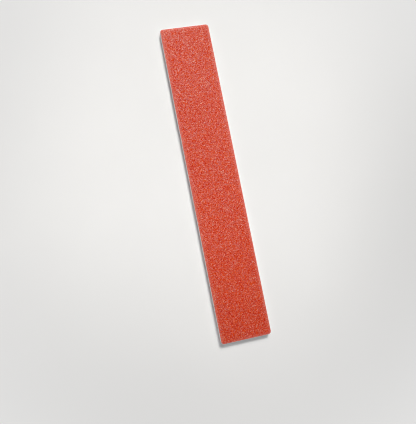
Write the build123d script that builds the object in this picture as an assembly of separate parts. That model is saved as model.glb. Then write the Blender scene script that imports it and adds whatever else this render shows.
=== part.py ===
from build123d import *

import os

# Straight nail buffer board: two abrasive faces on foam pads around a stiff core.
#
# Frame: millimetres, +X along the length, +Y across the width, +Z up through the
# thickness. The origin is the centre of the underside, so the board lies on Z = 0.
# One die cuts the board out of a laminated sheet, so every layer has the same
# outline: a long rectangle with small rounded corners.

# ---------------------------------------------------------------- outline
LENGTH = 178.0  # 7 in salon board
WIDTH = 28.0  # 1 1/8 in, the wide straight pattern
CORNER_RADIUS = 1.6  # corners of the cutting die, in plan
RIM_BREAK = 0.08  # bevel where the die pushes over the outer rim of each grit coat

# ---------------------------------------------------------------- layers
CORE = 1.10  # stiff white plastic sheet

# The layers on each side of the core, from the outer face inwards: name, thickness.
SIDE_LAYERS = [
    ("grit_coat", 0.20),  # resin coat with the abrasive grain standing in it
    ("backing_paper", 0.15),  # waterproof paper of the abrasive sheet
    ("outer_adhesive", 0.05),  # film between the paper and the foam
    ("foam_pad", 1.00),  # closed cell foam
    ("inner_adhesive", 0.10),  # film between the foam and the core
]

# The whole board, from the underside to the top.
STACK = (
    [(f"{name}_bottom", thickness) for name, thickness in SIDE_LAYERS]
    + [("core_sheet", CORE)]
    + [(f"{name}_top", thickness) for name, thickness in reversed(SIDE_LAYERS)]
)


def layer(base_z, thickness):
    """One die-cut layer standing on the height base_z."""
    with BuildPart() as built:
        with BuildSketch(Plane.XY.offset(base_z)):
            RectangleRounded(LENGTH, WIDTH, CORNER_RADIUS)
        extrude(amount=thickness)
    return built.part


def grit_coat(base_z, thickness, outer_z):
    """A layer with a bevelled rim on its outer face, at the height outer_z."""
    plain = layer(base_z, thickness)
    rim = [edge for edge in plain.edges() if abs(edge.center().Z - outer_z) < 1e-6]
    return chamfer(rim, RIM_BREAK)


def build():
    """All the layers by name, stacked upwards from Z = 0."""
    pieces = {}
    z = 0.0
    for name, thickness in STACK:
        top_z = z + thickness
        if name == "grit_coat_bottom":
            piece = grit_coat(z, thickness, outer_z=z)
        elif name == "grit_coat_top":
            piece = grit_coat(z, thickness, outer_z=top_z)
        else:
            piece = layer(z, thickness)
        piece.label = name
        pieces[name] = piece
        z = top_z
    return pieces


os.makedirs("parts", exist_ok=True)
for name, piece in build().items():
    export_step(piece, os.path.join("parts", name + ".step"))
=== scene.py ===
"""Looks of the straight nail buffer board.

The board lies flat on the floor, long along X and wide along Y, centred on the
origin in both, with its layers stacked up Z. Eleven die-cut layers are each
shown by a mesh of their own: two abrasive coats with real grain relief, their
backing papers, two foam pads with cut cells along the edge, a stiff core with
shear marks, and the adhesive films between them.
Lengths are in millimetres unless noted, and meshes are written in metres.
"""

import math

import bpy
import numpy as np
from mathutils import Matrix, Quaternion, Vector
from mathutils.geometry import delaunay_2d_cdt


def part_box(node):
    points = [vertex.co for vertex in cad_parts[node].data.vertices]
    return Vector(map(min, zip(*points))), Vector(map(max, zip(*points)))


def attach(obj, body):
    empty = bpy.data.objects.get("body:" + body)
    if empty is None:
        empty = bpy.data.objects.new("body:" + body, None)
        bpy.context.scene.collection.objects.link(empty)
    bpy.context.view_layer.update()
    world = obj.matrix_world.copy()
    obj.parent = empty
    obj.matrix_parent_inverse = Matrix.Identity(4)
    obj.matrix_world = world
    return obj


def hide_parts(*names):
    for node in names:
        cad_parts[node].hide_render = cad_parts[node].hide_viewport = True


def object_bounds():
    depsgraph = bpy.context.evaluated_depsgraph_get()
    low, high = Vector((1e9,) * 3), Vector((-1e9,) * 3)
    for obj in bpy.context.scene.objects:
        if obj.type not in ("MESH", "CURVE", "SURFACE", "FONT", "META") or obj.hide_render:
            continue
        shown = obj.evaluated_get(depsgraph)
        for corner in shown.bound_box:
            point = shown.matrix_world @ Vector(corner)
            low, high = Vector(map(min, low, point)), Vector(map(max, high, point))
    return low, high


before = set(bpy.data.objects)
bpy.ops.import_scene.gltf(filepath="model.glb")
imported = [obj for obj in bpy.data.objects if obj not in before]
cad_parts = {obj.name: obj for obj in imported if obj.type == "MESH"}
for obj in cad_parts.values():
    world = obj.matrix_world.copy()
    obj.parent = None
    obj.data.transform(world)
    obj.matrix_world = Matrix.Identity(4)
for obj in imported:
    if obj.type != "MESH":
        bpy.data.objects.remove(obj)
cad_low, cad_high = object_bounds()

MM = 0.001
HALF_LONG = cad_high.x / MM
HALF_WIDE = cad_high.y / MM
CORNER = 1.6

# The die's outline: centre of the +X +Y corner, and lengths of its runs.
CENTRE_X, CENTRE_Y = HALF_LONG - CORNER, HALF_WIDE - CORNER
ARC = CORNER * math.pi / 2
FLAT_X, FLAT_Y = 2 * CENTRE_X, 2 * CENTRE_Y
AROUND = 2 * (FLAT_X + FLAT_Y) + 4 * ARC

# The die presses the skins down a little as it cuts, so both faces fall away
# towards the rim, the upper one more than the lower one that lay on the bed.
ROLL_WIDE = 2.1
ROLL_POWER = 2.2
ROLL_TOP, ROLL_BOTTOM = 0.24, 0.08

# Abrasive coat: spacing of the mesh's points, and pitch of the grains.
GRAIN_STEP = 0.262
GRAIN_SIZE = 0.39
COAT_RIM_COUNT = 1900
GRAIN_SEED_SHIFT = 50


# ------------------------------------------------------------------ noise


def ease(share):
    return share * share * (3 - 2 * share)


def smooth(start, end, value):
    """Smooth step from 0 at start to 1 at end, where start may be the larger."""
    return ease(np.clip((value - start) / (end - start), 0.0, 1.0))


def loop_noise(rng, arc, period, octaves=2, gain=0.55):
    """Smooth noise in -1..1 along the closed outline, with about this period."""
    out = np.zeros_like(arc)
    amount, total = 1.0, 0.0
    for octave in range(octaves):
        count = max(4, int(round(AROUND / period * 2**octave)))
        values = rng.uniform(-1, 1, count)
        x = (arc / AROUND) * count
        i = np.floor(x).astype(int)
        part = ease(x - i)
        out += amount * (values[i % count] * (1 - part) + values[(i + 1) % count] * part)
        total += amount
        amount *= gain
    return out / total


def plane_noise(rng, x, y, period, octaves, gain=0.55):
    """Smooth value noise in -1..1 over the plane."""
    out = np.zeros_like(x)
    amount, total = 1.0, 0.0
    for octave in range(octaves):
        step = period / 2**octave
        count_x = int(2 * HALF_LONG / step) + 6
        count_y = int(2 * HALF_WIDE / step) + 6
        values = rng.uniform(-1, 1, (count_x, count_y))
        grid_x, grid_y = (x + HALF_LONG) / step + 2, (y + HALF_WIDE) / step + 2
        i = np.clip(np.floor(grid_x).astype(int), 0, count_x - 2)
        j = np.clip(np.floor(grid_y).astype(int), 0, count_y - 2)
        part_x = ease(np.clip(grid_x - i, 0, 1))
        part_y = ease(np.clip(grid_y - j, 0, 1))
        out += amount * (
            (values[i, j] * (1 - part_x) + values[i + 1, j] * part_x) * (1 - part_y)
            + (values[i, j + 1] * (1 - part_x) + values[i + 1, j + 1] * part_x) * part_y
        )
        total += amount
        amount *= gain
    return out / total


# ------------------------------------------------------------------ outline


def outline(arc):
    """Points and outward normals of the outline at these arc lengths, anticlockwise."""
    arc = np.mod(arc, AROUND)
    points = np.zeros((len(arc), 2))
    normals = np.zeros((len(arc), 2))
    # start of the side, its heading, its normal, its length, centre of the corner after it
    sides = (
        ((HALF_LONG, -CENTRE_Y), (0, 1), (1, 0), FLAT_Y, (CENTRE_X, CENTRE_Y)),
        ((CENTRE_X, HALF_WIDE), (-1, 0), (0, 1), FLAT_X, (-CENTRE_X, CENTRE_Y)),
        ((-HALF_LONG, CENTRE_Y), (0, -1), (-1, 0), FLAT_Y, (-CENTRE_X, -CENTRE_Y)),
        ((-CENTRE_X, -HALF_WIDE), (1, 0), (0, -1), FLAT_X, (CENTRE_X, -CENTRE_Y)),
    )
    at = 0.0
    for turn, (start, heading, normal, length, centre) in enumerate(sides):
        on = (arc >= at) & (arc < at + length + 1e-9)
        points[on] = np.array(start) + (arc[on] - at)[:, None] * np.array(heading)
        normals[on] = np.array(normal)
        at += length
        on = (arc >= at) & (arc < at + ARC + 1e-9)
        angle = turn * math.pi / 2 + (arc[on] - at) / CORNER
        normals[on] = np.stack([np.cos(angle), np.sin(angle)], -1)
        points[on] = np.array(centre) + CORNER * normals[on]
        at += ARC
    return points, normals


def arc_of(x, y):
    """Arc length of the outline point nearest to each point, near enough for a lookup."""
    on_end = (HALF_LONG - np.abs(x)) < (HALF_WIDE - np.abs(y))
    near_x = np.clip(x, -CENTRE_X, CENTRE_X)
    near_y = np.clip(y, -CENTRE_Y, CENTRE_Y)
    plus_x = near_y + CENTRE_Y
    plus_y = FLAT_Y + ARC + (CENTRE_X - near_x)
    minus_x = FLAT_Y + ARC + FLAT_X + ARC + (CENTRE_Y - near_y)
    minus_y = 2 * FLAT_Y + 3 * ARC + FLAT_X + (near_x + CENTRE_X)
    return np.where(
        on_end, np.where(x >= 0, plus_x, minus_x), np.where(y >= 0, plus_y, minus_y)
    )


def along_loop(at, arc, values):
    """Values given at arc lengths round the closed outline, looked up at others."""
    return np.interp(at, np.r_[arc, AROUND], np.r_[values, values[0]])


def inside_depth(x, y):
    """Distance in from the die's outline."""
    past_x = np.abs(x) - CENTRE_X
    past_y = np.abs(y) - CENTRE_Y
    beyond = np.hypot(np.maximum(past_x, 0), np.maximum(past_y, 0))
    return CORNER - (beyond + np.minimum(np.maximum(past_x, past_y), 0))


def roll(depth):
    """Share of the roll-over at a distance in from the rim, 1 at the rim."""
    return np.clip(1 - depth / ROLL_WIDE, 0, 1) ** ROLL_POWER


# One die cut every layer, so they share its slow wander of a few hundredths.
die_rng = np.random.default_rng(411)
DIE_COUNT = 4096
DIE_ARC = np.arange(DIE_COUNT) / DIE_COUNT * AROUND
DIE_WANDER = 0.035 * loop_noise(die_rng, DIE_ARC, period=34.0)
DIE_WANDER = DIE_WANDER + 0.012 * loop_noise(die_rng, DIE_ARC, period=5.0)


def wander(arc):
    return along_loop(np.mod(arc, AROUND), DIE_ARC, DIE_WANDER)


# ------------------------------------------------------------------ meshes


def triangulate(points, ring_count):
    """Delaunay triangles of points, kept inside the closed ring of the first ring_count."""
    ring = [(i, (i + 1) % ring_count) for i in range(ring_count)]
    # 1 asks for triangles inside the ring, 1e-7 is the merging distance
    corners, _, faces, origin, _, _ = delaunay_2d_cdt(
        [Vector(point) for point in points.tolist()], ring, [], 1, 1e-7, True
    )
    if len(corners) != len(points):
        raise RuntimeError(f"triangulation changed {len(points)} points to {len(corners)}")
    index = np.array([sources[0] for sources in origin])
    tris = np.sort(index[np.array([face for face in faces if len(face) == 3])], axis=1)
    first = points[tris[:, 0]]
    edge_1 = points[tris[:, 1]] - first
    edge_2 = points[tris[:, 2]] - first
    area = edge_1[:, 0] * edge_2[:, 1] - edge_1[:, 1] * edge_2[:, 0]
    # A triangle that bridges a dent in the ring lies outside it, and then its
    # corners run clockwise along the ring.
    outside = (tris[:, 2] < ring_count) & (area <= 0)
    flip = area < 0
    tris[flip] = tris[flip][:, ::-1]
    return tris[~outside]


def make_mesh(name, verts, faces, uvs, smooth_side, point_data, face_data=None):
    """faces has an index array per group, the side first, with 3 or 4 columns.
    uvs matches it, with one pair per corner."""
    mesh = bpy.data.meshes.new(name)
    mesh.vertices.add(len(verts))
    mesh.vertices.foreach_set("co", (verts * MM).astype(np.float32).ravel())
    loops = np.concatenate([group.ravel() for group in faces])
    counts = np.concatenate([np.full(len(group), group.shape[1]) for group in faces])
    starts = np.concatenate([[0], np.cumsum(counts)[:-1]])
    mesh.loops.add(len(loops))
    mesh.loops.foreach_set("vertex_index", loops.astype(np.int32))
    mesh.polygons.add(len(counts))
    mesh.polygons.foreach_set("loop_start", starts.astype(np.int32))
    mesh.polygons.foreach_set("loop_total", counts.astype(np.int32))
    flags = np.zeros(len(counts), bool)
    flags[: len(faces[0])] = smooth_side
    mesh.polygons.foreach_set("use_smooth", flags)
    mesh.update(calc_edges=True)
    layer = mesh.uv_layers.new(name="OFBake")
    pairs = np.concatenate([group.reshape(-1, 2) for group in uvs])
    layer.data.foreach_set("uv", pairs.astype(np.float32).ravel())
    for domain, data in (("POINT", point_data), ("FACE", face_data or {})):
        for key, values in data.items():
            attribute = mesh.attributes.new(key, "FLOAT", domain)
            attribute.data.foreach_set("value", values.astype(np.float32))
    mesh.validate()
    obj = bpy.data.objects.new(name, mesh)
    bpy.context.scene.collection.objects.link(obj)
    return obj


def strip_uv(points, tris, strips, v_low, v_high):
    """UVs for a flat face cut across its length into strips, stacked from v_low to v_high.
    A triangle goes wholly in its middle's strip, and the strips keep a gap between them."""
    margin = 0.35
    corners = points[tris]
    middle = corners.mean(1)[:, 0]
    share = (middle + HALF_LONG) / (2 * HALF_LONG)
    strip = np.clip((share * strips).astype(int), 0, strips - 1)[:, None]
    length = 2 * HALF_LONG / strips
    u = (corners[..., 0] + HALF_LONG - strip * length + margin) / (length + 2 * margin)
    across = (corners[..., 1] + HALF_WIDE + margin) / (2 * HALF_WIDE + 2 * margin)
    v = v_low + (strip + across) * ((v_high - v_low) / strips)
    return np.stack([np.clip(u, 0.0005, 0.9995), v], -1)


def band_uv(count, rows, lines, v_low, v_high):
    """UVs for a band of count by rows quads, folded onto lines from v_low to v_high."""
    per_line = int(math.ceil(count / lines))
    i = np.arange(count)
    line, column = i // per_line, i % per_line
    high = (v_high - v_low) / lines
    out = np.zeros((count, rows, 4, 2))
    for j in range(rows):
        for corner, (right, above) in enumerate(((0, 0), (1, 0), (1, 1), (0, 1))):
            out[:, j, corner, 0] = 0.001 + 0.998 * (column + right) / per_line
            out[:, j, corner, 1] = v_low + (line + 0.06 + 0.88 * (j + above) / rows) * high
    return out.reshape(-1, 4, 2)


def band_faces(count, rows):
    """Quads between successive rings of count vertices, wound to face outward."""
    i = np.arange(count)
    out = np.zeros((count, rows, 4), int)
    for j in range(rows):
        here, following = j * count + i, j * count + (i + 1) % count
        out[:, j] = np.stack([here, following, following + count, here + count], -1)
    return out.reshape(-1, 4)


def inner_points():
    """Points for faces between layers: rings that follow the roll-over, then a loose grid."""
    parts = []
    for depth, count in ((0.55, 520), (1.20, 360), (2.15, 240)):
        points, normals = outline(np.arange(count) / count * AROUND + depth)
        ring = points - normals * depth
        # rings deeper than the corner radius would cross themselves at the corners
        parts.append(ring[np.abs(inside_depth(ring[:, 0], ring[:, 1]) - depth) < 0.25])
    border = 4.2
    grid_x, grid_y = np.meshgrid(
        np.linspace(-HALF_LONG + border, HALF_LONG - border, 42),
        np.linspace(-HALF_WIDE + border, HALF_WIDE - border, 6),
    )
    parts.append(np.stack([grid_x.ravel(), grid_y.ravel()], -1))
    return np.concatenate(parts)


# ------------------------------------------------------------------ die-cut layers


def cut_layer(name, heights, count, rows, side_shape, seed, dips=(0.0, 0.0)):
    """A layer between two heights with a shaped side. side_shape(rng, arc, rise) gives how
    far the side stands out from the die's line, with rise from 0 at the bottom to 1 at the
    top, and a tone from 0 to 1 that the material reads. dips are how far the lower and
    upper faces move up at the rim, where the die rolled them over."""
    rng = np.random.default_rng(seed)
    arc = np.arange(count) / count * AROUND
    rise = np.linspace(0, 1, rows + 1)
    points, normals = outline(arc)
    offset, tone = side_shape(rng, arc, rise)
    offset = offset + wander(arc)[:, None]
    rings = points[:, None, :] + normals[:, None, :] * offset[..., None]
    verts = np.zeros((rows + 1, count, 3))
    verts[..., :2] = rings.transpose(1, 0, 2)
    rim_z = (heights[0] + dips[0]) * (1 - rise) + (heights[1] + dips[1]) * rise
    verts[..., 2] = rim_z[:, None]
    grid = inner_points()
    fall = roll(inside_depth(grid[:, 0], grid[:, 1]))
    parts = [verts.reshape(-1, 3)]
    groups = [band_faces(count, rows)]
    uvs = [band_uv(count, rows, lines=14, v_low=0.30, v_high=0.99)]
    base = (rows + 1) * count
    # ring that bounds the flat face, its height, its dip, its range of V
    flats = (
        (0, heights[0], dips[0], (0.01, 0.14)),
        (rows, heights[1], dips[1], (0.15, 0.28)),
    )
    for level, z, dip, v_range in flats:
        flat = np.concatenate([verts[level, :, :2], grid])
        tris = triangulate(flat, count)
        uv = strip_uv(flat, tris, 1, *v_range)
        index = np.concatenate([level * count + np.arange(count), base + np.arange(len(grid))])
        faces = index[tris]
        if level == 0:
            faces, uv = faces[:, ::-1], uv[:, ::-1]
        parts.append(np.column_stack([grid, z + dip * fall]))
        base += len(grid)
        groups.append(faces)
        uvs.append(uv)
    tones = np.concatenate([tone.T.ravel(), np.full(2 * len(grid), 0.5)])
    return make_mesh(name, np.concatenate(parts), groups, uvs, True, {"tone": tones})


def hump(rise):
    """0 at both faces of a layer and 1 halfway."""
    return 4 * rise * (1 - rise)


def away_from_faces(rise, ramp):
    """1 within a layer, falling to 0 over a ramp at both faces."""
    return smooth(0.0, ramp, rise) * smooth(0.0, ramp, 1 - rise)


def row_noise(rng, arc, rise, period):
    """Separate noise for each ring of the side."""
    return np.stack([loop_noise(rng, arc, period, gain=0.8) for _ in rise], -1)


def foam_cells(rng, count, rows):
    """Depth of the round cells that the die left open, on a band taken as 1 mm high."""
    pit = np.zeros((count, rows))
    step_arc, step_rise = AROUND / count, 1.0 / (rows - 1)
    cells = int(AROUND / 0.062)
    at_arc = rng.uniform(0, AROUND, cells)
    at_rise = rng.uniform(-0.03, 1.03, cells)
    # one cell in four is larger
    radii = rng.uniform(0.06, 0.15, cells) * rng.choice([1.0, 1.0, 1.0, 1.35], cells)
    for x, y, radius in zip(at_arc, at_rise, radii):
        i = np.arange(int((x - radius) / step_arc), int((x + radius) / step_arc) + 2)
        low = max(0, int((y - radius) / step_rise))
        high = min(rows - 1, int((y + radius) / step_rise) + 1)
        j = np.arange(low, high + 1)
        square = ((i * step_arc - x) ** 2)[:, None] + ((j * step_rise - y) ** 2)[None, :]
        dome = np.sqrt(np.maximum(0.0, 1 - square / (radius * radius)))
        block = np.ix_(i % count, j)
        pit[block] = np.maximum(pit[block], dome * radius * 0.75)
    return pit


def foam_side(rng, arc, rise):
    """Cut foam draws in a little between its glued faces, and its cells are left open."""
    offset = -0.015 - 0.055 * hump(rise)[None, :] ** 0.8
    offset = offset * (1 + 0.35 * loop_noise(rng, arc, period=9.0))[:, None]
    # drag lines left by the die run across the layer
    drag = loop_noise(rng, arc, period=0.9, octaves=3, gain=0.8)
    offset = offset + 0.012 * drag[:, None]
    pit = foam_cells(rng, len(arc), len(rise))
    # cells are shallower next to the glued faces
    offset = offset - pit * (0.35 + 0.65 * away_from_faces(rise, 0.10))[None, :]
    # the tone is each cell's depth, which the foam material turns into painted shade
    return offset, np.clip(pit / 0.10, 0, 1)


def core_side(rng, arc, rise):
    """Sheared plastic: a burnished band where the die entered, a rougher break below it."""
    fine = loop_noise(rng, arc, period=0.32, gain=0.7)[:, None]
    broad = loop_noise(rng, arc, period=1.7, octaves=3)[:, None]
    break_at = 0.36 + 0.10 * loop_noise(rng, arc, period=6.0, octaves=3)
    rough = smooth(0.06, -0.06, rise[None, :] - break_at[:, None])
    jag = row_noise(rng, arc, rise, period=0.45)
    offset = 0.012 + 0.006 * fine + 0.010 * broad
    offset = offset - rough * (0.018 + 0.022 * jag)
    # both edges are slightly rounded
    offset = offset - 0.035 * (1 - away_from_faces(rise, 0.09))[None, :]
    return offset, np.clip(0.5 + 0.35 * rough + 0.25 * fine, 0, 1)


def glue_side(deep, ragged):
    """A film that stays this deep inside the cut, with a ragged hollow edge."""

    def side_shape(rng, arc, rise):
        slow = loop_noise(rng, arc, period=7.0, octaves=3)
        quick = loop_noise(rng, arc, period=0.9, octaves=3, gain=0.75)
        back = deep + ragged * (0.45 * slow + 0.55 * quick)
        bow = 1 + 0.5 * hump(rise)
        offset = -np.clip(back, 0.008, None)[:, None] * bow[None, :]
        tone = np.clip(0.5 + 0.5 * quick, 0, 1)[:, None] * np.ones(len(rise))[None, :]
        return offset, tone

    return side_shape


def paper_side(rng, arc, rise):
    """Torn fibres along the cut, with tufts that stand out halfway up."""
    fibres = row_noise(rng, arc, rise, period=0.28)
    tufts = np.maximum(0, loop_noise(rng, arc, period=1.1)) ** 2
    halfway = (1 - np.abs(2 * rise - 1))[None, :]
    offset = -0.004 + 0.018 * fibres + 0.020 * tufts[:, None] * halfway
    return offset, np.clip(0.5 + 0.5 * fibres, 0, 1)


# ------------------------------------------------------------------ abrasive coats

# The rim's three rings, from the paper outward. Columns: distance out from the
# die's line, scatter either way, share of the tears taken.
RIM_OFFSETS = ((0.004, 0.012, 0.55), (-0.010, 0.022, 1.0), (-0.085, 0.035, 1.15))
# The two rings clear of the paper. Columns: height, lowest and highest scatter,
# share of the tears taken, least height.
RIM_HEIGHTS = ((0.085, -0.025, 0.025, 0.15, 0.03), (0.130, -0.030, 0.035, 0.30, 0.05))
TEARS = 230


def torn_rim(rng, arc):
    """The rim's rings as points above the paper, and how far out the last one stands.
    The die pushed it over and tore grains out here and there."""
    count = len(arc)
    jittered = arc + rng.uniform(-0.055, 0.055, count)
    torn = np.zeros(count)
    for _ in range(TEARS):
        at = rng.uniform(0, AROUND)
        reach = rng.uniform(0.18, 0.75)
        deep = rng.uniform(0.04, 0.17)
        away = np.abs(np.mod(arc - at + AROUND / 2, AROUND) - AROUND / 2)
        torn = np.maximum(torn, deep * smooth(reach, 0.0, away))
    points, normals = outline(jittered)
    line = wander(jittered)
    offsets = [
        line + out + rng.uniform(-scatter, scatter, count) - torn * share
        for out, scatter, share in RIM_OFFSETS
    ]
    heights = [np.zeros(count)] + [
        np.clip(height + rng.uniform(low, high, count) - torn * share, least, None)
        for height, low, high, share, least in RIM_HEIGHTS
    ]
    rings = [
        np.column_stack([points + normals * offset[:, None], height])
        for offset, height in zip(offsets, heights)
    ]
    return rings, offsets[-1]


def grain_points(rng, arc, rim_offset):
    """A jittered triangular lattice inside the rim: each point a grain tip or a gap."""
    step_x, step_y = GRAIN_STEP, GRAIN_STEP * math.sqrt(3) / 2
    count_x, count_y = int(2 * HALF_LONG / step_x) + 2, int(2 * HALF_WIDE / step_y) + 2
    grid_x, grid_y = np.meshgrid(
        np.arange(count_x) * step_x - HALF_LONG, np.arange(count_y) * step_y - HALF_WIDE
    )
    grid_x[1::2] += step_x / 2
    points = np.stack([grid_x.ravel(), grid_y.ravel()], -1)
    points = points + rng.uniform(-0.40, 0.40, points.shape) * GRAIN_STEP
    x, y = points[:, 0], points[:, 1]
    limit = along_loop(arc_of(x, y), arc, -rim_offset)
    return points[inside_depth(x, y) > limit + 0.14]


def nearest_grain(seed, points):
    """For each point, the random number of its grain, and how far inside that grain it is."""
    rng = np.random.default_rng(seed)
    size = GRAIN_SIZE
    shape = (int(2 * HALF_LONG / size) + 5, int(2 * HALF_WIDE / size) + 5)
    jitter_x = rng.uniform(-0.46, 0.46, shape) * size
    jitter_y = rng.uniform(-0.46, 0.46, shape) * size
    centre_x = (np.arange(shape[0]) - 2)[:, None] * size - HALF_LONG + jitter_x
    centre_y = (np.arange(shape[1]) - 2)[None, :] * size - HALF_WIDE + jitter_y
    number = rng.uniform(0, 1, shape)
    x, y = points[:, 0], points[:, 1]
    home_i = np.clip(np.round((x + HALF_LONG) / size).astype(int) + 2, 2, shape[0] - 3)
    home_j = np.clip(np.round((y + HALF_WIDE) / size).astype(int) + 2, 2, shape[1] - 3)
    first = np.full(len(points), 1e9)
    second = np.full(len(points), 1e9)
    which = np.zeros(len(points))
    for step_i in range(-2, 3):
        for step_j in range(-2, 3):
            i, j = home_i + step_i, home_j + step_j
            distance = np.hypot(x - centre_x[i, j], y - centre_y[i, j])
            nearer = distance < first
            second = np.where(nearer, first, np.minimum(second, distance))
            which = np.where(nearer, number[i, j], which)
            first = np.where(nearer, distance, first)
    return which, (second - first) / 2


def grain_heights(rng, points, grain, within, full):
    """Each grain has its own height, and the resin sinks between grains."""
    x, y = points[:, 0], points[:, 1]
    count = len(points)
    clump = plane_noise(rng, x, y, period=1.3, octaves=2, gain=0.6)
    broad = plane_noise(rng, x, y, period=9.0, octaves=3)
    height = 0.060 + 0.105 * grain * smooth(0.02, 0.16, within) + 0.012 * clump
    height = height + rng.uniform(-0.020, 0.020, count) + 0.006 * broad
    # a few grains stand proud of the rest
    proud = (grain > 0.985) & (within > 0.10)
    height = np.where(proud, rng.uniform(0.186, 0.200, count), height)
    rim_fall = 1 - 0.34 * smooth(0.75, 0.05, inside_depth(x, y))
    return np.clip(height * rim_fall, 0.02, full)


def grit_coat(name, z_paper, z_outer, seed, rolled):
    """Resin with crushed mineral grain in it, on the side of z_paper that z_outer is."""
    rng = np.random.default_rng(seed)
    grain_seed = seed + GRAIN_SEED_SHIFT
    up = 1.0 if z_outer > z_paper else -1.0
    count = COAT_RIM_COUNT
    arc = np.arange(count) / count * AROUND
    rings, rim_offset = torn_rim(rng, arc)
    points = grain_points(rng, arc, rim_offset)
    grain, within = nearest_grain(grain_seed, points)
    height = grain_heights(rng, points, grain, within, abs(z_outer - z_paper))

    flat = np.concatenate([rings[2][:, :2], points])
    tris = triangulate(flat, count)
    grid = inner_points()
    verts = np.concatenate(
        rings
        + [np.column_stack([points, height]), np.column_stack([grid, np.zeros(len(grid))])]
    )
    under_flat = np.concatenate([rings[0][:, :2], grid])
    under = triangulate(under_flat, count)
    grid_start = len(verts) - len(grid)
    index = np.concatenate([np.arange(count), grid_start + np.arange(len(grid))])
    groups = [band_faces(count, 2), tris + 2 * count, index[under][:, ::-1]]
    uvs = [
        band_uv(count, 2, lines=3, v_low=0.905, v_high=0.955),
        strip_uv(flat, tris, strips=2, v_low=0.0, v_high=0.90),
        strip_uv(under_flat, under, strips=1, v_low=0.960, v_high=0.998)[:, ::-1],
    ]

    depth = np.maximum(inside_depth(verts[:, 0], verts[:, 1]), 0)
    verts[:, 2] = z_paper + up * (verts[:, 2] - rolled * roll(depth))
    if up < 0:
        groups = [group[:, ::-1] for group in groups]
        uvs = [group[:, ::-1] for group in uvs]
    on_face, _ = nearest_grain(grain_seed, flat[tris].mean(1))
    grain_face = [rng.uniform(0, 1, len(groups[0])), on_face, np.full(len(under), 0.5)]
    # 1 in the gaps between grains, where the coat's material paints shade with it
    sunk_shade = np.zeros(len(verts))
    sunk_shade[3 * count : grid_start] = 1 - smooth(0.015, 0.10, within)
    facet = rng.uniform(0, 1, sum(len(group) for group in groups))
    return make_mesh(
        name,
        verts,
        groups,
        uvs,
        False,
        {"rim": np.clip(1 - depth / 2.4, 0, 1), "sunk_shade": sunk_shade},
        {"facet": facet, "grain": np.concatenate(grain_face)},
    )


# ------------------------------------------------------------------ shader helpers


class Graph:
    """Small helpers for wiring a node tree. Ranges are (low, high) pairs."""

    def __init__(self, tree):
        self.tree = tree

    def new(self, kind):
        return self.tree.nodes.new(kind)

    def feed(self, socket, value):
        """Link an output to the socket, or set the socket to a plain value."""
        if isinstance(value, bpy.types.NodeSocket):
            self.tree.links.new(value, socket)
        else:
            socket.default_value = value

    def math(self, operation, *values, clamp=False):
        node = self.new("ShaderNodeMath")
        node.operation = operation
        node.use_clamp = clamp
        for socket, value in zip(node.inputs, values):
            self.feed(socket, value)
        return node.outputs[0]

    def plus(self, first, second, clamp=False):
        return self.math("ADD", first, second, clamp=clamp)

    def times(self, value, *factors):
        for factor in factors:
            value = self.math("MULTIPLY", value, factor)
        return value

    def weighted(self, *terms):
        """Sum of (value, weight) pairs."""
        total = self.times(*terms[0])
        for value, weight in terms[1:]:
            total = self.plus(total, self.times(value, weight))
        return total

    def fit(self, value, source, target, smoothly=False):
        """Map one range onto another."""
        node = self.new("ShaderNodeMapRange")
        node.interpolation_type = "SMOOTHSTEP" if smoothly else "LINEAR"
        self.feed(node.inputs["Value"], value)
        for key, number in zip(("From Min", "From Max", "To Min", "To Max"), source + target):
            node.inputs[key].default_value = number
        return node.outputs[0]

    def spread(self, noise, target=(0, 1)):
        """Map the range that noise mostly keeps to."""
        return self.fit(noise, (0.3, 0.7), target)

    def mix_shader(self, factor, first, second):
        node = self.new("ShaderNodeMixShader")
        for socket, value in zip(node.inputs, (factor, first, second)):
            self.feed(socket, value)
        return node.outputs[0]


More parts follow.
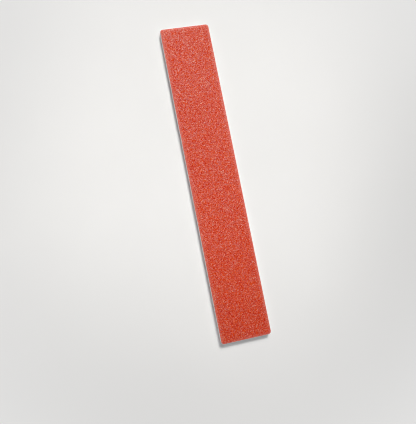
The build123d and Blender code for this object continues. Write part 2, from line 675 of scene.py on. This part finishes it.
class Material(Graph):
    """One material, patterned in object space. Pattern sizes are in millimetres."""

    def __init__(self, name):
        self.mat = bpy.data.materials.new(name)
        self.mat.use_nodes = True
        super().__init__(self.mat.node_tree)
        self.bsdf = self.tree.nodes["Principled BSDF"]
        self.place = self.new("ShaderNodeTexCoord").outputs["Object"]

    def scaled(self, x, y, z):
        node = self.new("ShaderNodeMapping")
        node.inputs["Scale"].default_value = (x, y, z)
        self.feed(node.inputs["Vector"], self.place)
        return node.outputs[0]

    def noise(self, size, detail, rough, vector=None):
        node = self.new("ShaderNodeTexNoise")
        node.inputs["Scale"].default_value = 1000.0 / size
        node.inputs["Detail"].default_value = detail
        node.inputs["Roughness"].default_value = rough
        self.feed(node.inputs["Vector"], vector or self.place)
        return node.outputs["Fac"]

    def cells(self, size, feature="F1"):
        node = self.new("ShaderNodeTexVoronoi")
        node.feature = feature
        node.inputs["Scale"].default_value = 1000.0 / size
        self.feed(node.inputs["Vector"], self.place)
        return node.outputs

    def attribute(self, name):
        node = self.new("ShaderNodeAttribute")
        node.attribute_name = name
        return node.outputs["Fac"]

    def ramp(self, value, *stops):
        """Colour ramp through (position, colour) stops."""
        node = self.new("ShaderNodeValToRGB")
        elements = node.color_ramp.elements
        while len(elements) < len(stops):
            elements.new(0.5)
        for element, (position, colour) in zip(elements, stops):
            element.position = position
            element.color = colour
        self.feed(node.inputs[0], value)
        return node.outputs[0]

    def three_tones(self, value, dark, middle, light):
        return self.ramp(value, (0.10, dark), (0.50, middle), (0.90, light))

    def mix(self, amount, under, over):
        node = self.new("ShaderNodeMix")
        node.data_type = "RGBA"
        node.blend_type = "MIX"
        # inputs 6 and 7 are the two colours
        for slot, value in ((0, amount), (6, under), (7, over)):
            self.feed(node.inputs[slot], value)
        return node.outputs[2]

    def bump(self, height, strength, distance, below=None):
        node = self.new("ShaderNodeBump")
        node.inputs["Strength"].default_value = strength
        node.inputs["Distance"].default_value = distance * MM
        self.feed(node.inputs["Height"], height)
        if below is not None:
            self.feed(node.inputs["Normal"], below)
        return node.outputs[0]

    def finish(self, colour, rough, ior, normal=None, shine=0.5):
        inputs = self.bsdf.inputs
        self.feed(inputs["Base Color"], colour)
        self.feed(inputs["Roughness"], rough)
        if normal is not None:
            self.feed(inputs["Normal"], normal)
        self.feed(inputs["IOR"], ior)
        self.feed(inputs["Specular IOR Level"], shine)
        return self.mat


def srgb(*levels):
    """Linear colour with full alpha from three 0-255 levels."""

    def linear(level):
        level /= 255.0
        return level / 12.92 if level <= 0.04045 else ((level + 0.055) / 1.055) ** 2.4

    return (*map(linear, levels), 1.0)


# ------------------------------------------------------------------ materials


def grit_material(name):
    net = Material(name)
    rim, facet, grain = net.attribute("rim"), net.attribute("facet"), net.attribute("grain")
    clump = net.noise(size=1.5, detail=2.0, rough=0.62)
    cloud = net.noise(size=17.0, detail=3.0, rough=0.55, vector=net.scaled(0.45, 1.0, 1.0))
    # chips: the crushed mineral, smaller than the mesh's own grains
    chip_size = 0.27
    chip = net.cells(chip_size)
    chip_edge = net.cells(chip_size, "DISTANCE_TO_EDGE")["Distance"]
    channels = net.new("ShaderNodeSeparateColor")
    net.feed(channels.inputs[0], chip["Color"])
    # three random numbers for each chip
    chip_a, chip_b, chip_c = channels.outputs

    tone = net.weighted(
        (grain, 0.42), (facet, 0.30), (chip_a, 0.28), (net.spread(clump), 0.05)
    )
    tone = net.plus(tone, net.spread(cloud, (-0.03, 0.02)))
    colour = net.ramp(
        net.fit(tone, (0.20, 0.84), (0.0, 1.0)),
        (0.00, srgb(192, 23, 0)),
        (0.25, srgb(210, 40, 0)),
        (0.50, srgb(221, 54, 1)),
        (0.75, srgb(230, 71, 10)),
        (1.00, srgb(239, 96, 33)),
    )
    # the grey-pink mineral shows through the resin, far more on some grains than on others
    other = net.math("FRACT", net.times(grain, 17.13))
    bare = net.weighted(
        (net.math("POWER", other, 6.0), 0.40), (net.math("POWER", chip_b, 4.0), 0.09)
    )
    barest = net.times(net.math("GREATER_THAN", other, 0.965), 0.26)
    colour = net.mix(net.plus(bare, barest, clamp=True), colour, srgb(230, 176, 146))
    # painted shade in the gaps between grains, where the resin also pools a darker red
    colour = net.mix(net.times(net.attribute("sunk_shade"), 0.30), colour, srgb(150, 12, 2))
    # painted shade along the gaps between chips
    gap = net.fit(chip_edge, (0.0, 0.09), (0.45, 0.0), smoothly=True)
    colour = net.mix(gap, colour, srgb(172, 22, 8))
    # a few pale grains without resin on them, and a few bare dark gaps
    # cell size, comparison, threshold, distances where the spot fades, strength, colour
    for size, compare, limit, fade, strength, spot_colour in (
        (0.42, "GREATER_THAN", 0.91, (0.26, 0.36), 0.75, srgb(240, 196, 178)),
        (0.62, "LESS_THAN", 0.06, (0.18, 0.34), 0.5, srgb(150, 20, 10)),
    ):
        spots = net.cells(size)
        chosen = net.math(compare, spots["Color"], limit)
        near = net.fit(spots["Distance"], fade, (1.0, 0.0), smoothly=True)
        colour = net.mix(net.times(chosen, near, strength), colour, spot_colour)
    # towards the rim the resin is thinner on the grain, and at the cut it is broken through
    thin, broken = (
        net.times(net.math("POWER", rim, power), net.fit(chip_b, (0, 1), amounts))
        for power, amounts in ((1.8, (0.07, 0.33)), (14.0, (0.25, 0.55)))
    )
    colour = net.mix(net.plus(thin, broken, clamp=True), colour, srgb(232, 150, 136))

    # some grains and chips break with a glassy face and glint, most are dulled by resin
    glint = net.math("FRACT", net.times(grain, 41.7))
    glint = net.math("POWER", net.weighted((glint, 0.7), (chip_c, 0.3)), 3.0)
    dull = net.fit(facet, (0, 1), (0.50, 0.70))
    rough = net.math("SUBTRACT", dull, net.times(glint, 0.26))
    # each chip stands as a small blunt cone on the relief of the mesh
    cone = net.fit(chip["Distance"], (0.05, 0.75), (1.0, 0.0))
    normal = net.bump(cone, strength=0.55, distance=0.07)
    wrinkle = net.noise(size=0.09, detail=2.0, rough=0.6)
    normal = net.bump(wrinkle, strength=0.30, distance=0.02, below=normal)
    # seen very flat, the chips hide each other's shine
    slant = net.new("ShaderNodeLayerWeight")
    slant.inputs["Blend"].default_value = 0.5
    shine = net.plus(net.times(glint, 1.10), 0.01)
    shine = net.times(shine, net.fit(slant.outputs["Facing"], (0.60, 0.95), (1.0, 0.1)))
    rim_shine = net.times(net.math("POWER", rim, 2.0), 0.34)
    shine = net.plus(shine, rim_shine, clamp=True)
    return net.finish(colour, rough, ior=1.76, normal=normal, shine=shine)


def foam_material(name):
    net = Material(name)
    cell = net.cells(0.16)["Distance"]
    soft = net.noise(size=2.4, detail=3.0, rough=0.55)
    streak = net.noise(size=0.5, detail=3.0, rough=0.6, vector=net.scaled(1.0, 1.0, 0.12))
    cell_middle = net.fit(cell, (0.0, 0.7), (1.0, 0.0))
    tone = net.weighted(
        (cell_middle, 0.25), (net.spread(soft), 0.35), (net.spread(streak), 0.40)
    )
    colour = net.three_tones(
        tone, srgb(217, 221, 224), srgb(232, 235, 237), srgb(244, 246, 247)
    )
    # painted shade in the open cells, darker the deeper the cell
    colour = net.mix(net.times(net.attribute("tone"), 0.34), colour, srgb(190, 194, 199))
    rough = net.fit(cell, (0.0, 0.7), (0.82, 0.95))
    normal = net.bump(cell, strength=0.5, distance=0.03)
    return net.finish(colour, rough, ior=1.35, normal=normal)


def core_material(name):
    net = Material(name)
    side = net.attribute("tone")
    lines = net.noise(size=0.22, detail=2.0, rough=0.6, vector=net.scaled(1.0, 1.0, 0.06))
    soft = net.noise(size=5.0, detail=3.0, rough=0.5)
    tone = net.weighted((net.spread(lines), 0.45), (net.spread(soft), 0.35), (side, 0.20))
    colour = net.three_tones(
        tone, srgb(216, 221, 224), srgb(230, 234, 236), srgb(242, 245, 246)
    )
    rough = net.fit(side, (0.2, 0.9), (0.38, 0.68))
    normal = net.bump(lines, strength=0.4, distance=0.02)
    return net.finish(colour, rough, ior=1.59, normal=normal)


def glue_material(name, dark, light):
    net = Material(name)
    dots = net.noise(size=0.75, detail=2.0, rough=0.6)
    tone = net.weighted((net.spread(dots), 0.6), (net.attribute("tone"), 0.4))
    colour = net.ramp(tone, (0.15, dark), (0.85, light))
    normal = net.bump(dots, strength=0.3, distance=0.02)
    return net.finish(colour, net.spread(dots, (0.35, 0.6)), ior=1.47, normal=normal)


def paper_material(name):
    net = Material(name)
    fibre = net.noise(size=0.35, detail=3.0, rough=0.65, vector=net.scaled(1.0, 1.0, 3.0))
    stain = net.noise(size=3.0, detail=3.0, rough=0.6)
    tone = net.weighted(
        (net.spread(fibre), 0.5), (net.spread(stain), 0.3), (net.attribute("tone"), 0.2)
    )
    colour = net.three_tones(
        tone, srgb(196, 104, 84), srgb(222, 146, 124), srgb(238, 196, 180)
    )
    normal = net.bump(fibre, strength=0.5, distance=0.02)
    return net.finish(colour, net.spread(fibre, (0.80, 0.95)), ior=1.45, normal=normal)


# ------------------------------------------------------------------ the pieces

grit = grit_material("abrasive_coat")
paper = paper_material("backing_paper")
outer_glue = glue_material("outer_glue", srgb(176, 160, 150), srgb(222, 212, 204))
inner_glue = glue_material("inner_glue", srgb(112, 115, 119), srgb(146, 149, 153))
foam = foam_material("closed_cell_foam")
core = core_material("core_plastic")

# Cut layers of each half, from the coat towards the core. Columns: object, CAD node,
# slot, material, points round, rows up the side, side shape, and whether the face
# towards the core and the face towards the coat roll over.
HALF_LAYERS = (
    ("paper_", "backing_paper_", "backing_paper", paper, 2400, 3, paper_side, (1, 1)),
    ("glue_outer_", "outer_adhesive_", "outer_adhesive", outer_glue, 1400, 2,
     glue_side(deep=0.030, ragged=0.020), (1, 1)),
    ("foam_", "foam_pad_", "foam", foam, 4200, 12, foam_side, (0, 1)),
    ("glue_inner_", "inner_adhesive_", "inner_adhesive", inner_glue, 1800, 2,
     glue_side(deep=0.080, ragged=0.022), (0, 0)),
)


def span(node):
    """Lowest and highest Z of a CAD node."""
    low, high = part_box(node)
    return low.z / MM, high.z / MM


def add(obj, node, slot, material):
    obj.data.materials.append(material)
    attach(obj, "root")
    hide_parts(node)


# side, direction from the core (1 is up), first seed, roll-over
for side, outward, seed, rolled in (("top", 1, 100, ROLL_TOP), ("bottom", -1, 200, ROLL_BOTTOM)):
    node = "grit_coat_" + side
    z_paper, z_outer = span(node)[::outward]
    coat = grit_coat("abrasive_coat_" + side, z_paper, z_outer, seed + 1, rolled)
    add(coat, node, "grit_coat", grit)
    for step, layer in enumerate(HALF_LAYERS, start=2):
        name, node, slot, material, count, rows, side_shape, rolls = layer
        node += side
        dips = [-outward * rolled * share for share in rolls[::outward]]
        obj = cut_layer(name + side, span(node), count, rows, side_shape, seed + step, dips)
        add(obj, node, slot, material)

plate = cut_layer("core_plate", span("core_sheet"), 3200, 10, core_side, seed=300)
add(plate, "core_sheet", "core", core)

# ------------------------------------------------------------------ floor (metres)

BACKDROP = (0.79, 0.787, 0.78, 1.0)
FLOOR_HALF = 6.0
FLOOR_DROP = 0.00002


def floor_material(name):
    net = Material(name)
    cloud = net.noise(size=60.0, detail=3.0, rough=0.5)
    colour = net.ramp(
        cloud, (0.3, (0.905, 0.908, 0.912, 1.0)), (0.7, (0.925, 0.928, 0.932, 1.0))
    )
    net.finish(colour, rough=0.85, ior=1.3)
    # Far from the board the floor runs smoothly into the backdrop, so no horizon shows.
    distance = net.new("ShaderNodeVectorMath")
    distance.operation = "LENGTH"
    net.feed(distance.inputs[0], net.place)
    plain = net.new("ShaderNodeEmission")
    plain.inputs[0].default_value = BACKDROP
    far = net.fit(distance.outputs["Value"], (0.06, 0.215), (0.0, 1.0), smoothly=True)
    shader = net.mix_shader(far, net.bsdf.outputs[0], plain.outputs[0])
    net.feed(net.tree.nodes["Material Output"].inputs["Surface"], shader)
    net.mat.cycles.emission_sampling = "NONE"
    return net.mat


floor_mesh = bpy.data.meshes.new("floor")
floor_corners = [(x * FLOOR_HALF, y * FLOOR_HALF, 0) for x, y in ((-1, -1), (1, -1), (1, 1), (-1, 1))]
floor_mesh.from_pydata(floor_corners, [], [(0, 1, 2, 3)])
floor = bpy.data.objects.new("floor", floor_mesh)
floor.location.z = -FLOOR_DROP
bpy.context.scene.collection.objects.link(floor)
floor.data.materials.append(floor_material("pale_floor"))

# ------------------------------------------------------------------ world


def build_world():
    """A pale studio: walls brighter than the ceiling, with a white card on the +X -Y
    side, away from the light. The camera itself sees a plain backdrop."""
    world = bpy.data.worlds.new("studio")
    bpy.context.scene.world = world
    world.use_nodes = True
    net = Graph(world.node_tree)
    split = net.new("ShaderNodeSeparateXYZ")
    net.feed(split.inputs[0], net.new("ShaderNodeTexCoord").outputs["Generated"])
    x, y, z = split.outputs
    low = net.fit(z, (0.02, 0.55), (1.0, 0.0), smoothly=True)
    card = net.fit(net.math("SUBTRACT", x, y), (-0.9, 1.1), (0.0, 0.66), smoothly=True)
    wall, ceiling = 0.46, 0.16
    studio = net.tree.nodes["Background"]
    studio.inputs[0].default_value = (0.99, 0.993, 1.0, 1.0)
    net.feed(studio.inputs[1], net.plus(net.times(low, net.plus(card, wall)), ceiling))
    seen = net.new("ShaderNodeBackground")
    seen.inputs[0].default_value = BACKDROP
    from_camera = net.new("ShaderNodeLightPath").outputs["Is Camera Ray"]
    shader = net.mix_shader(from_camera, studio.outputs[0], seen.outputs[0])
    net.feed(net.tree.nodes["World Output"].inputs["Surface"], shader)


build_world()

# ------------------------------------------------------------------ lights and camera (metres)


def add_light(data, place, aim):
    light = bpy.data.objects.new(data.name, data)
    light.location = place
    light.rotation_mode = "QUATERNION"
    light.rotation_quaternion = (Vector(aim) - Vector(place)).to_track_quat("-Z", "Y")
    bpy.context.scene.collection.objects.link(light)


sun = bpy.data.lights.new("soft_sun", "SUN")
sun.energy = 1.12
sun.angle = 0.55
sun.color = (1.0, 0.985, 0.96)
add_light(sun, place=(-0.72, 0.29, 1.00), aim=(0, 0, 0))

# A narrow softbox beyond the -X end gives the coat its sheen.
softbox = bpy.data.lights.new("softbox", "AREA")
softbox.shape = "RECTANGLE"
softbox.size = softbox.size_y = 0.26
softbox.energy = 0.117
softbox.spread = math.radians(17)
softbox.color = (1.0, 0.975, 0.93)
add_light(softbox, place=(-0.38, 0.15, 0.54), aim=(-0.042, 0, 0))

camera_data = bpy.data.cameras.new("camera")
camera_data.lens = 45.0
camera_data.sensor_width = 36.0
camera_data.clip_start, camera_data.clip_end = 0.01, 50.0
camera = bpy.data.objects.new("camera", camera_data)
camera.location = (0.042335, -0.055283, 0.289989)
camera.rotation_mode = "QUATERNION"
camera.rotation_quaternion = Quaternion((0.767406, 0.091226, -0.019624, 0.634336))
bpy.context.scene.collection.objects.link(camera)

scene = bpy.context.scene
scene.camera = camera
scene.cycles.filter_width = 1.0
scene.view_settings.view_transform = "Standard"
scene.view_settings.look = "None"
scene.view_settings.exposure = 0.0
scene.view_settings.gamma = 1.0
